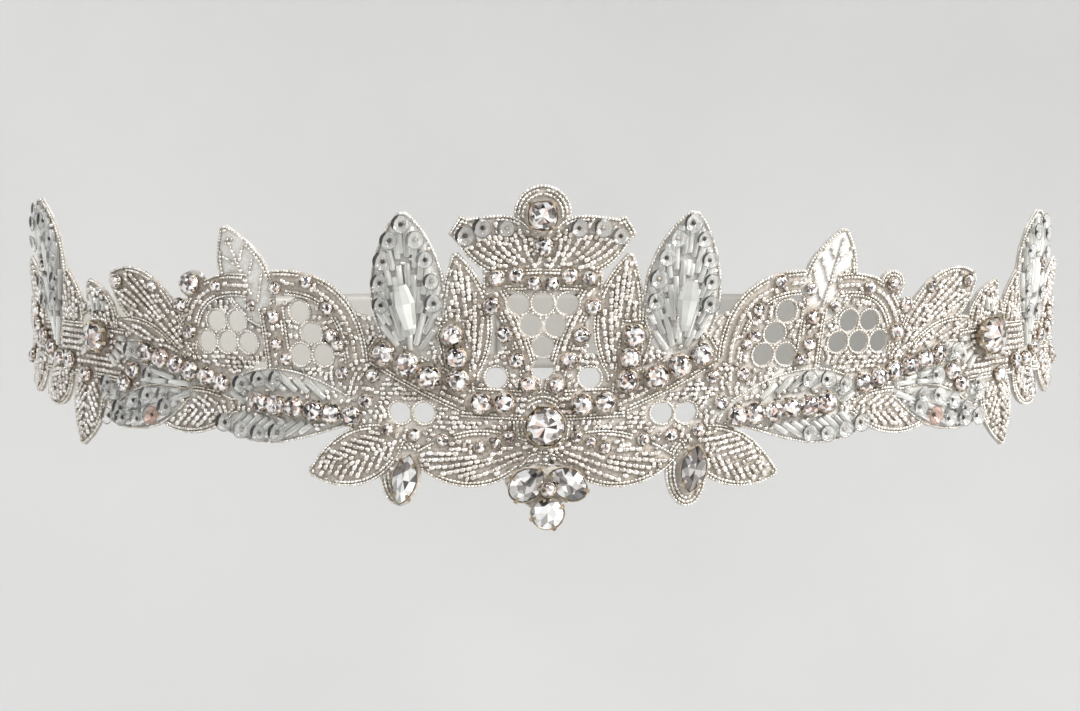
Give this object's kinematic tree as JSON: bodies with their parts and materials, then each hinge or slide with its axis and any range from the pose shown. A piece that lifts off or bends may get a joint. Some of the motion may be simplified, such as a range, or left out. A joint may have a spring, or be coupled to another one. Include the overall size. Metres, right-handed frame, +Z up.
{
  "type": "bridal sash",
  "caption": "Bridal belt for the waist: openwork beaded leaf applique with rhinestones, carried round the back by a lapped satin ribbon.",
  "frame": {"origin": "centre of the waist that the belt is worn on, at the height of the middle row of stones at the front", "axes": "-Y out of the front of the belt, +Z up, +X towards image right"},
  "size_m": [0.281, 0.2045, 0.0823],
  "materials": {
    "beaded_lace": "off-white organza and tulle under silver-lined seed beads, bugles, sequins and rhinestones",
    "satin": "ivory satin ribbon with a soft sheen",
    "crystal": "faceted foil-backed stone in a silver setting"
  },
  "bodies": {
    "root": {"applique_centre": "beaded_lace", "applique_left": "beaded_lace", "applique_right": "beaded_lace", "centre_stone": "crystal", "crown_stone": "crystal", "drop_bead_left": "crystal", "drop_bead_right": "crystal", "marquise_left": "crystal", "marquise_right": "crystal", "pendant_left": "crystal", "pendant_low": "crystal", "pendant_right": "crystal", "side_stone_left": "crystal", "side_stone_right": "crystal", "ribbon_left": "satin", "ribbon_right": "satin"}
  },
  "joints": []
}
